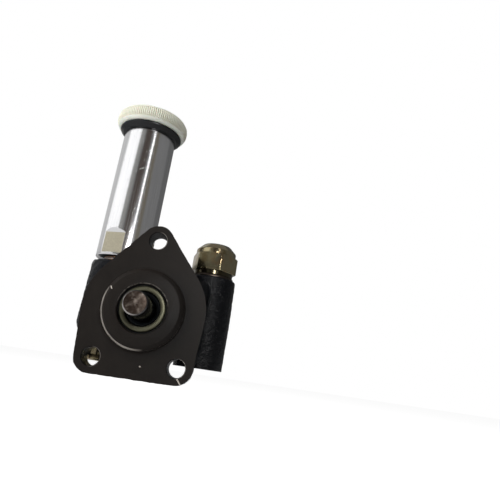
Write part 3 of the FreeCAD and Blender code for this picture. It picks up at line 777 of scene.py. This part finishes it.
# housing: a rough casting, machined afterwards
casting = {
    "plateDepth": 11.0, "bodyRadius": 29.4, "lobeRadius": 7.7, "excess": 2.6, "bossRadius": 19.3,
    "bossChamfer": 1.9, "sealRadius": 11.6, "sealDepth": 9.0, "bushRadius": 8.0, "bushLength": 21.0,
    "rodRadius": 6.5, "shoulder": 2.5, "pistonRadius": 11.0, "plugRadius": 13.0, "plugDepth": 8.0,
    "chamberRadius": 17.8, "chamberDraft": 0.9, "suctionRadius": 15.3, "suctionLowRadius": 16.3,
    "suctionLow": -8.5, "neckRadius": 11.6, "neckFoot": -23.3, "deliveryRadius": 13.1, "deliveryDraft": 0.3,
    "deliveryFoot": -22.9, "webTop": 19.4, "webRear": 38.1, "nutRadius": 8.6, "nutRoom": 9.0,
    "coverRadius": 9.0, "coverDepth": 10.5, "valveRadius": 8.0, "seat": 3.0, "throatRadius": 4.0,
    "throatDepth": 9.0, "adapterDepth": 9.5, "portRadius": 6.4, "portDepth": 11.5, "portGroove": 0.62,
    "portPitch": 1.5, "portRelief": 7.2, "passageRadius": 2.6, "sideRadius": 2.0, "sideGap": 0.2,
    "pistonLength": 12.05, "stroke": 7.0,
    "bossStock": 2.5, "footStock": 1.5, "topStock": 0.25, "rooted": 4.0, "webRound": 4.0, "webRise": 5.0,
    "voxel": 0.7, "smoothing": 9, "skinGrain": 2.2, "skinDepth": 0.5,
    "facingRadius": 80.0, "facingDepth": 16.0, "rearFacing": 26.0, "suctionSpot": 12.4,
    "deliverySpot": 12.0, "neckFacing": 16.0, "footFacing": 17.0,
}


def castBlank():
    size = casting
    circles = [(0, 0, size["bodyRadius"])] + [(x, z, size["lobeRadius"]) for x, z in boltPlaces]
    looseEnds()
    depth = size["plateDepth"] + size["excess"]
    middle = (size["plateDepth"] - size["excess"]) / 2
    for count, (x, z, radius) in enumerate(circles):  # the outline is the hull of four round bars
        bpy.ops.mesh.primitive_cylinder_add(
            vertices=96, radius=radius * mm, depth=depth * mm,
            location=(x * mm, middle * mm, z * mm), rotation=(math.pi / 2, 0, 0),
        )
        if count == 0:
            plate = bpy.context.object
            plate.name = "casting"
            settle(plate)
            bpy.ops.object.mode_set(mode="EDIT")
    bpy.ops.mesh.select_all(action="SELECT")
    bpy.ops.mesh.convex_hull()
    looseEnds()
    suctionLow = size["suctionLow"]
    cove = size["suctionLowRadius"] - size["neckRadius"]
    boss = size["bossRadius"] + size["bossStock"]
    bossBlank = [(boss, bossFace - size["bossStock"]), (boss, size["rooted"])]
    chamberBlank = [
        (size["chamberRadius"] + size["chamberDraft"], size["rooted"]),
        (size["chamberRadius"], housingRear + size["footStock"]),
    ]
    suctionBlank = [
        (size["neckRadius"], size["neckFoot"] - size["footStock"]),
        (size["neckRadius"], suctionLow - cove),
        (size["suctionLowRadius"] - cove * 0.29, suctionLow - cove * 0.71),
        (size["suctionLowRadius"], suctionLow),
        (size["suctionRadius"] + 0.1, columnTop + size["topStock"]),
    ]
    deliveryBlank = [
        (size["deliveryRadius"] - size["deliveryDraft"], size["deliveryFoot"] - size["footStock"]),
        (size["deliveryRadius"], (columnTop + size["deliveryFoot"]) / 2),
        (size["deliveryRadius"] - size["deliveryDraft"] + 0.1, columnTop + size["topStock"]),
    ]
    parts = [
        turnedPiece("bossBlank", bossBlank, rodFoot, "Y", 64),
        turnedPiece("chamberBlank", chamberBlank, rodFoot, "Y", 64),
        turnedPiece("suctionBlank", suctionBlank, primerFoot, segments=64),
        turnedPiece("deliveryBlank", deliveryBlank, plugFoot, segments=64),
    ]
    for x, foot in ((primerAxis.x, suctionLow), (plugAxis.x, size["deliveryFoot"] + size["webRise"])):
        looseEnds()
        bpy.ops.mesh.primitive_cube_add(size=1)
        web = bpy.context.object
        root = size["plateDepth"] / 2
        web.scale = (abs(x) * mm, (size["webRear"] - root) * mm, (size["webTop"] - foot) * mm)
        web.location = (x / 2 * mm, (size["webRear"] + root) / 2 * mm, (size["webTop"] + foot) / 2 * mm)
        settle(web)
        softened(web, size["webRound"], 60, 5)
        parts.append(web)
    looseEnds()
    for part in parts:
        part.select_set(True)
    plate.select_set(True)
    bpy.context.view_layer.objects.active = plate
    bpy.ops.object.join()
    applied(plate, "REMESH", mode="VOXEL", voxel_size=size["voxel"] * mm)
    applied(plate, "SMOOTH", factor=0.5, iterations=size["smoothing"])
    sand = bpy.data.textures.new("castSkin", "CLOUDS")
    sand.noise_scale = size["skinGrain"] * mm
    applied(
        plate, "DISPLACE", texture=sand, strength=size["skinDepth"] * mm, mid_level=0.5,
        texture_coords="LOCAL",
    )
    return plate


def disc(name, radius, start, end, foot, segments, along="Z"):
    return turnedPiece(name, [(radius, start), (radius, end)], foot, along, segments)


def drillPath(name, start, end, radius):
    looseEnds()
    start, end = Vector(start), Vector(end)
    run = end - start
    bpy.ops.mesh.primitive_cylinder_add(vertices=32, radius=radius * mm, depth=run.length * mm)
    drill = bpy.context.object
    drill.name = name
    drill.rotation_euler = run.to_track_quat("Z", "Y").to_euler()
    drill.location = (start + end) / 2 * mm
    settle(drill)
    return drill


def machiningTools():
    size = casting
    sealFloor = bossFace + size["sealDepth"]
    bushEnd = sealFloor + size["bushLength"]
    chamber = bushEnd + size["shoulder"]
    threadStart = housingRear - size["plugDepth"]
    mouth = columnTop - size["coverDepth"]
    throat = size["seat"] - size["throatDepth"]
    bossEdge = size["bossRadius"] - size["bossChamfer"]
    valveBores = [  # the same in both columns, down to the valve's seat
        (size["coverRadius"], columnTop + 4),
        (size["coverRadius"], mouth),
        (size["valveRadius"], mouth),
        (size["valveRadius"], size["seat"]),
        (size["throatRadius"], size["seat"]),
    ]
    suctionBores = valveBores + [
        (size["throatRadius"], size["neckFoot"] + size["adapterDepth"]),
        (size["coverRadius"], size["neckFoot"] + size["adapterDepth"]),
        (size["coverRadius"], size["neckFoot"] - 4),
    ]
    neckFoot, deliveryFoot = size["neckFoot"], size["deliveryFoot"]
    tools = [
        turnedPiece(
            "facing",
            [
                (bossEdge - 0.25, bossFace),
                (bossEdge, bossFace + 0.12),
                (size["bossRadius"] - 0.12, bossFace + size["bossChamfer"] - 0.1),
                (size["bossRadius"], bossFace + size["bossChamfer"] + 0.15),
                (size["bossRadius"], -0.35),
                (size["bossRadius"] + 0.35, 0),
                (size["facingRadius"], 0),
                (size["facingRadius"], -size["facingDepth"]),
            ],
            rodFoot, "Y", 160,
        ),
        turnedPiece(
            "rodBores",
            [
                (size["sealRadius"] + 0.4, bossFace - 4),
                (size["sealRadius"] + 0.4, bossFace),
                (size["sealRadius"], bossFace + 0.4),
                (size["sealRadius"], sealFloor),
                (size["bushRadius"], sealFloor),
                (size["bushRadius"], bushEnd),
                (size["rodRadius"], bushEnd),
                (size["rodRadius"], chamber),
                (size["pistonRadius"], chamber),
                (size["pistonRadius"], threadStart),
                (size["plugRadius"], threadStart),
                (size["plugRadius"], housingRear + 4),
            ],
            rodFoot, "Y", 96,
        ),
        disc("rearFacing", size["rearFacing"], housingRear, housingRear + 6, rodFoot, 48, "Y"),
        turnedPiece("suctionBores", suctionBores, primerFoot),
        turnedPiece("deliveryBores", valveBores + [(size["throatRadius"], throat)], plugFoot),
        disc("suctionSpot", size["suctionSpot"], columnTop, columnTop + 5, primerFoot, 96),
        disc("deliverySpot", size["deliverySpot"], columnTop, columnTop + 5, plugFoot, 96),
        disc("neckFoot", size["neckFacing"], neckFoot, neckFoot - 6, primerFoot, 48),
        disc("columnFoot", size["footFacing"], deliveryFoot, deliveryFoot - 6, plugFoot, 48),
    ]
    back = size["plateDepth"]
    for x, z in boltPlaces:
        tools.append(
            turnedPiece(
                "boltHole",
                [
                    (boltHole + 0.35, -3),
                    (boltHole + 0.35, 0),
                    (boltHole, 0.35),
                    (boltHole, back),
                    (size["nutRadius"], back),
                    (size["nutRadius"], back + size["nutRoom"]),
                ],
                (x, 0, z), "Y", 64,
            )
        )
    portTop = deliveryFoot + size["portDepth"]
    threadTop = portTop - size["portPitch"]
    tap = threadedBar(
        "portTap", size["portRadius"] + size["portGroove"], size["portRadius"], size["portPitch"],
        deliveryFoot - 1, threadTop, plugAxis,
    )
    mouthRadius, entryRadius = size["portRadius"] + 1.0, size["portRadius"] - 0.1
    entry = turnedPiece(
        "portEntry",
        [(mouthRadius, deliveryFoot - 2), (mouthRadius, deliveryFoot), (entryRadius, deliveryFoot + 1.1)],
        plugFoot, segments=64,
    )
    relief = disc("portRelief", size["portRelief"], threadTop, portTop, plugFoot, 64)
    tools += [tap, entry, relief]
    behindPiston = chamber + size["pistonLength"] + size["stroke"] + size["passageRadius"]
    middle = (0, behindPiston, 0)
    fromSuction = (primerAxis.x, primerAxis.y, size["seat"] + 4.0)
    toDelivery = (plugAxis.x, plugAxis.y, throat + size["passageRadius"])
    tools.append(drillPath("suctionPath", fromSuction, middle, size["passageRadius"]))
    tools.append(drillPath("deliveryPath", toDelivery, middle, size["passageRadius"]))
    side = plugAxis.y + size["valveRadius"] + size["sideGap"]
    sidePath = (plugAxis.x, side, threadTop), (plugAxis.x, side, mouth)
    tools.append(drillPath("sidePath", *sidePath, size["sideRadius"]))
    return tools


def pumpHousing(material):
    piece = castBlank()
    print("casting blank:", len(piece.data.polygons), "faces")
    combined(piece, machiningTools(), "DIFFERENCE")
    smoothShaded(piece, 38)
    piece.name = "castHousing"
    return dress(piece, material, "root", "casting_paint", "housing")


# seal ring and lip seal in the boss
sealParts = {
    "outer": 10.9, "inner": 8.3, "front": -5.4, "back": -3.6, "rod": 5.54, "bore": 11.5, "floor": 2.95,
}


def sealRing(material):
    size = sealParts
    outer, inner, front, back = size["outer"], size["inner"], size["front"], size["back"]
    profile = [
        (inner, back),
        (inner, front + 0.5),
        (inner + 0.12, front + 0.18),
        (inner + 0.45, front),
        (outer - 1.1, front),
        (outer - 0.6, front + 0.1),
        (outer - 0.2, front + 0.4),
        (outer, front + 0.9),
        (outer, back),
        (inner, back),
    ]
    piece = turnedPiece("sealRetainer", profile, rodFoot, "Y", 128)
    smoothShaded(piece, 40)
    return dress(piece, material, "root", "yellow_zinc", "seal_ring")


def rodSeal(material):
    size = sealParts
    lip = size["rod"]
    front = size["back"] + 0.05
    floor = size["floor"]
    profile = [
        (size["bore"], front),
        (size["bore"], floor),
        (lip + 1.2, floor),
        (lip + 0.3, floor - 0.5),
        (lip, floor - 1.2),
        (lip, floor - 2.4),
        (lip + 0.5, front + 1.6),
        (lip + 1.2, front + 0.7),
        (lip + 1.7, front + 0.15),
        (lip + 2.2, front),
        (lip + 2.5, front + 0.2),
        (lip + 2.6, front + 0.7),
        (lip + 2.6, floor - 3.0),
        (size["bore"] - 3.1, floor - 3.0),
        (size["bore"] - 3.3, front + 1.0),
        (size["bore"] - 3.1, front),
        (size["bore"], front),
    ]
    piece = turnedPiece("lipSeal", profile, rodFoot, "Y", 96)
    smoothShaded(piece, 45)
    return dress(piece, material, "root", "black_rubber", "rod_seal")


# push rod, with two smears across its end: x where one crosses the middle, slope and half width
rod = {"radius": 5.5, "chamfer": 0.6, "smears": ((-0.9, 0.9, 0.9), (0.6, -0.6, 0.7))}


def pushRod(material):
    front = boxMm("push_rod")[0].y
    end = boxMm("push_rod")[1].y
    radius, chamfer = rod["radius"], rod["chamfer"]
    profile = [
        (0.4, front + 0.02),
        (radius - chamfer - 0.15, front),
        (radius - chamfer, front + 0.05),
        (radius - 0.05, front + chamfer - 0.05),
        (radius, front + chamfer + 0.1),
        (radius, end - chamfer),
        (radius - chamfer, end),
    ]
    piece = turnedPiece("tappetRod", profile, rodFoot, "Y", 96)
    smoothShaded(piece, 35)
    return dress(piece, material, "push_rod", "rod_steel", "push_rod")


# copper washers: the node that each stands for, and the radius of its bore
washers = {
    "barrelWasher": ("primer_washer", 9.0),
    "plugWasher": ("valve_washer", 9.0),
    "rearWasher": ("chamber_washer", 13.0),
}


def copperWasher(name, material):
    node, inner = washers[name]
    low, high = boxMm(node)
    lengthwise = high.y - low.y < high.z - low.z
    outer = (high.x - low.x) / 2
    foot, top = (low.y, high.y) if lengthwise else (low.z, high.z)
    axis = (low + high) / 2
    centre = (axis.x, 0, axis.z) if lengthwise else (axis.x, axis.y, 0)
    profile = [
        (inner, foot), (outer - 0.35, foot), (outer - 0.1, foot + 0.12), (outer, foot + 0.45),
        (outer, top - 0.45), (outer - 0.1, top - 0.12), (outer - 0.35, top), (inner, top), (inner, foot),
    ]
    piece = turnedPiece(name, profile, centre, "Y" if lengthwise else "Z", 96)
    smoothShaded(piece, 40)
    return dress(piece, material, "root", "copper", node)


# hexagon plug at the rear of the piston chamber
rearPlug = {
    "flats": 27.0, "collarRadius": 15.6, "collarHeight": 2.2, "threadRadius": 12.95, "pocketRadius": 7.15,
    "pocketDepth": 4.5, "hexOverlap": 0.3, "dishFloor": 4.0, "dishMouth": 9.5, "dishDepth": 0.9,
}


def chamberPlug(material):
    size = rearPlug
    low, high = boxMm("chamber_plug")
    hexLow = plugWasherRear + size["collarHeight"]
    profile = [
        (size["pocketRadius"], low.y + size["pocketDepth"]),
        (size["pocketRadius"], low.y),
        (size["threadRadius"], low.y),
        (size["threadRadius"], plugWasherRear),
        (size["collarRadius"] - 0.25, plugWasherRear),
        (size["collarRadius"], plugWasherRear + 0.25),
        (size["collarRadius"], hexLow - 0.4),
        (size["collarRadius"] - 0.4, hexLow),
    ]
    piece = turnedPiece("rearPlug", profile, rodFoot, "Y", 120)
    hexFoot = hexLow - size["hexOverlap"]
    head = hexBar("rearHex", size["flats"], hexFoot, high.y, rodFoot, 0, "Y", plainFoot=True)
    dishProfile = [(size["dishFloor"], high.y - size["dishDepth"]), (size["dishMouth"], high.y + 0.3)]
    dish = turnedPiece("rearDish", dishProfile, rodFoot, "Y", 96)
    combined(head, [dish], "DIFFERENCE")
    softened(head, 0.2, 45, 3)
    combined(piece, [head], "UNION")
    smoothShaded(piece, 32)
    return dress(piece, material, "root", "yellow_zinc", "chamber_plug")


# inlet adapter under the suction column, its port threaded
adapter = {"flats": 22.0, "height": 3.0, "turn": 15.0, "threadRadius": 8.95, "threadTop": -14.3}


def inletAdapter(material):
    size = adapter
    top = inletFace + size["height"]
    port = casting["portRadius"]
    piece = hexBar("inletBush", size["flats"], inletFace, top, primerFoot, size["turn"])
    softened(piece, 0.18, 45, 2)
    stud = disc("inletStud", size["threadRadius"], top - 0.5, size["threadTop"], primerFoot, 96)
    combined(piece, [stud], "UNION")
    tap = threadedBar(
        "inletTap", port + casting["portGroove"], port, casting["portPitch"],
        inletFace - 1, size["threadTop"] + 1, primerAxis,
    )
    entryProfile = [(port + 1.2, inletFace - 1), (port + 1.2, inletFace), (port - 0.1, inletFace + 1.3)]
    entry = turnedPiece("inletEntry", entryProfile, primerFoot, segments=64)
    combined(piece, [tap, entry], "DIFFERENCE")
    smoothShaded(piece, 32)
    return dress(piece, material, "root", "yellow_zinc", "inlet_adapter")


def modelPieces():
    zinc = zincFinish()
    copper = plainMetalFinish("copper", 0.25)
    # copper darkened nearly to black, as painted shade under the valve plug's hexagon
    shadedCopper = plainMetalFinish("shadedCopper", 0.3)
    rubber = rubberFinish()
    brass = plainMetalFinish("brass", 0.25)
    steel = plainMetalFinish("steel", 0.2)
    ground = rodFinish()
    primerBarrel(barrelFinish())
    print("barrel done")
    primerKnob(plasticFinish())
    rubberRing(rubber)
    print("knob done")
    coverPlug(zinc)
    chamberPlug(zinc)
    inletAdapter(zinc)
    sealRing(plainMetalFinish("ring", 0.40, 1.6))
    rodSeal(rubber)
    pushRod(ground)
    copperWasher("barrelWasher", copper)
    copperWasher("plugWasher", shadedCopper)
    copperWasher("rearWasher", copper)
    print("fittings done")
    pumpHousing(castingFinish())
    print("housing done")
    inner = {
        "guide_bush": brass, "piston": ground, "suction_valve": brass, "delivery_valve": brass,
        "primer_piston": brass, "bush_o_ring": rubber, "primer_o_ring": rubber, "primer_rod": steel,
        "primer_nut": steel, "piston_spring": steel, "suction_spring": steel, "delivery_spring": steel,
    }
    for node, material in inner.items():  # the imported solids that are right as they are
        frame["nodes"][node].data.materials.clear()
        frame["nodes"][node].data.materials.append(material)


# camera fitted to the photo, in degrees and millimetres
shot = {
    "azimuth": -1.623, "elevation": -15.422, "roll": 8.474, "target": (45.604, 0.0, 37.254),
    "distance": 226.673, "lens": 32.715, "sensor": 36.0,
}


def makeCamera():
    azimuth, elevation, roll = (math.radians(shot[key]) for key in ("azimuth", "elevation", "roll"))
    back = Vector((math.sin(azimuth), -math.cos(azimuth), 0)) * math.cos(elevation)
    back.z = math.sin(elevation)
    level = Vector((math.cos(azimuth), math.sin(azimuth), 0))
    plumb = back.cross(level)
    right = math.cos(roll) * level + math.sin(roll) * plumb
    up = math.cos(roll) * plumb - math.sin(roll) * level
    data = bpy.data.cameras.new("camera")
    data.lens = shot["lens"]
    data.sensor_width = shot["sensor"]
    data.clip_start = 0.01
    camera = bpy.data.objects.new("camera", data)
    bpy.context.scene.collection.objects.link(camera)
    turn = Matrix((right, up, back)).transposed().to_4x4()
    place = (Vector(shot["target"]) + back * shot["distance"]) * mm
    camera.matrix_world = Matrix.Translation(place) @ turn
    bpy.context.scene.camera = camera


# studio: a pale floor, soft lamps, and cards that only reflections see
studio = {
    "floorZ": -0.058, "floorColour": (0.86, 0.86, 0.86), "floorGlow": 0.82, "worldLight": 0.16,
    "worldReflected": 0.19, "cardRadius": 0.55, "ceilingPlace": (0, 0.35, 0.78), "ceilingSize": 1.1,
    "ceilingGrey": (0.3, 0.3, 0.3), "aimHigh": (0.0, 0.02, 0.04), "aimLow": (0.03, 0.03, 0.04),
}

# cards: bearings from and to in degrees round the primer, 0 towards the camera, colour, foot and top
cards = {
    "leftEdge": (-180, -112, (0.62, 0.62, 0.62), 0.13, 0.95),
    "leftWhite": (-112, -50, (1.35, 1.35, 1.35), 0.14, 0.95),
    "leftLow": (-105, -55, (1.20, 1.20, 1.20), -0.55, -0.25),
    "leftGrey": (-47, -32, (0.30, 0.30, 0.285), 0.12, 0.95),
    "front": (-26, 4, (0.075, 0.060, 0.052), -0.15, 0.95),
    "rightBrown": (24, 42, (0.155, 0.140, 0.110), 0.05, 0.95),
    "rightEdge": (106, 180, (0.13, 0.13, 0.13), -0.30, 0.95),
}

# broad lamps that light the pump and don't show in it: where, how wide and tall, and how strong
softboxes = {
    "leftSoftbox": ((-0.40, -0.36, 0.25), 0.45, 0.8, 4.6),
    "topSoftbox": ((0.05, -0.15, 0.60), 0.6, 0.4, 1.2),
}

# narrow lamps that only make the highlights, given in the same way
strips = {
    "highStrip": ((0.102, -0.20, 0.215), 0.011, 0.21, 0.036),
    "lowStrip": ((0.062, -0.20, 0.0575), 0.030, 0.075, 0.30),
}


def areaLamp(name, place, target, width, height, energy):
    data = bpy.data.lights.new(name, "AREA")
    data.shape = "RECTANGLE"
    data.size = width
    data.size_y = height
    data.energy = energy
    lamp = bpy.data.objects.new(name, data)
    bpy.context.scene.collection.objects.link(lamp)
    lamp.location = place
    lamp.rotation_euler = (Vector(target) - Vector(place)).to_track_quat("-Z", "Y").to_euler()
    lamp.visible_camera = False
    return lamp


def glowing(name, grey):
    finish = Finish(name)
    finish.set("Base Color", (0.0, 0.0, 0.0))
    finish.set("Specular IOR Level", 0.0)
    finish.set("Emission Color", grey)
    finish.set("Emission Strength", 1.0)
    return finish.material


def reflectedOnly(card):
    card.visible_camera = False
    card.visible_diffuse = False
    card.visible_shadow = False


def arcCard(name, start, end, grey, low, high):
    # an upright curved card round the primer, whose bearings start at the camera
    looseEnds()
    centre = Vector((primerAxis.x * mm, primerAxis.y * mm, 0))
    camera = bpy.context.scene.camera.location
    facing = math.atan2(camera.x - centre.x, centre.y - camera.y)
    bearing = math.radians(start) + facing
    first = centre + Vector((math.sin(bearing), -math.cos(bearing), 0)) * studio["cardRadius"]
    bpy.ops.mesh.primitive_plane_add(size=1, location=first)
    card = bpy.context.object
    card.name = name
    settle(card)
    bpy.ops.object.mode_set(mode="EDIT")
    bpy.ops.mesh.select_all(action="SELECT")
    bpy.ops.mesh.merge(type="CENTER")
    bpy.ops.mesh.extrude_vertices_move(TRANSFORM_OT_translate={"value": (0, 0, high - low)})
    bpy.ops.mesh.select_all(action="SELECT")
    bpy.ops.transform.translate(value=(0, 0, low))
    bpy.ops.mesh.spin(steps=24, angle=-math.radians(end - start), center=centre, axis=(0, 0, 1))
    looseEnds()
    card.data.materials.append(glowing(name, grey))
    reflectedOnly(card)


def makeStudio():
    looseEnds()
    bpy.ops.mesh.primitive_plane_add(size=6, location=(0, 0, studio["floorZ"]))
    floor = bpy.context.object
    floor.name = "floor"
    finish = Finish("floorFinish", Roughness=0.9)
    finish.set("Base Color", studio["floorColour"])
    finish.set("Specular IOR Level", 0.0)
    seen = finish.node("ShaderNodeLightPath", {}, {}, output="Is Camera Ray")
    glow = finish.node("ShaderNodeCombineColor", {}, {0: seen, 1: seen, 2: seen})
    finish.set("Emission Color", glow)
    finish.set("Emission Strength", studio["floorGlow"])
    floor.data.materials.append(finish.material)
    world = bpy.data.worlds.new("studio")
    bpy.context.scene.world = world
    world.use_nodes = True
    tree = world.node_tree
    background = tree.nodes["Background"]
    background.inputs["Color"].default_value = (1, 1, 1, 1)
    path = tree.nodes.new("ShaderNodeLightPath")
    camera = Wire(tree, path.outputs["Is Camera Ray"])
    clear = Wire(tree, path.outputs["Is Transmission Ray"])
    glossy = Wire(tree, path.outputs["Is Glossy Ray"])
    shown = (camera + clear).clamped()
    unseen = studio["worldLight"] - glossy * (studio["worldLight"] - studio["worldReflected"])
    light = shown + (1 - shown) * unseen
    tree.links.new(light.socket, background.inputs["Strength"])
    for name, (place, *rest) in softboxes.items():
        areaLamp(name, place, studio["aimHigh"], *rest).visible_glossy = False
    for name, (place, *rest) in strips.items():
        areaLamp(name, place, studio["aimLow"], *rest).visible_diffuse = False
    for name, settings in cards.items():
        arcCard(name + "Card", *settings)
    looseEnds()
    bpy.ops.mesh.primitive_plane_add(size=studio["ceilingSize"], location=studio["ceilingPlace"])
    ceiling = bpy.context.object
    ceiling.name = "ceilingCard"
    ceiling.data.materials.append(glowing("ceilingCard", studio["ceilingGrey"]))
    reflectedOnly(ceiling)


print("camera and studio")
makeCamera()
makeStudio()
print("pieces")
modelPieces()

bpy.context.scene.view_settings.view_transform = "Standard"
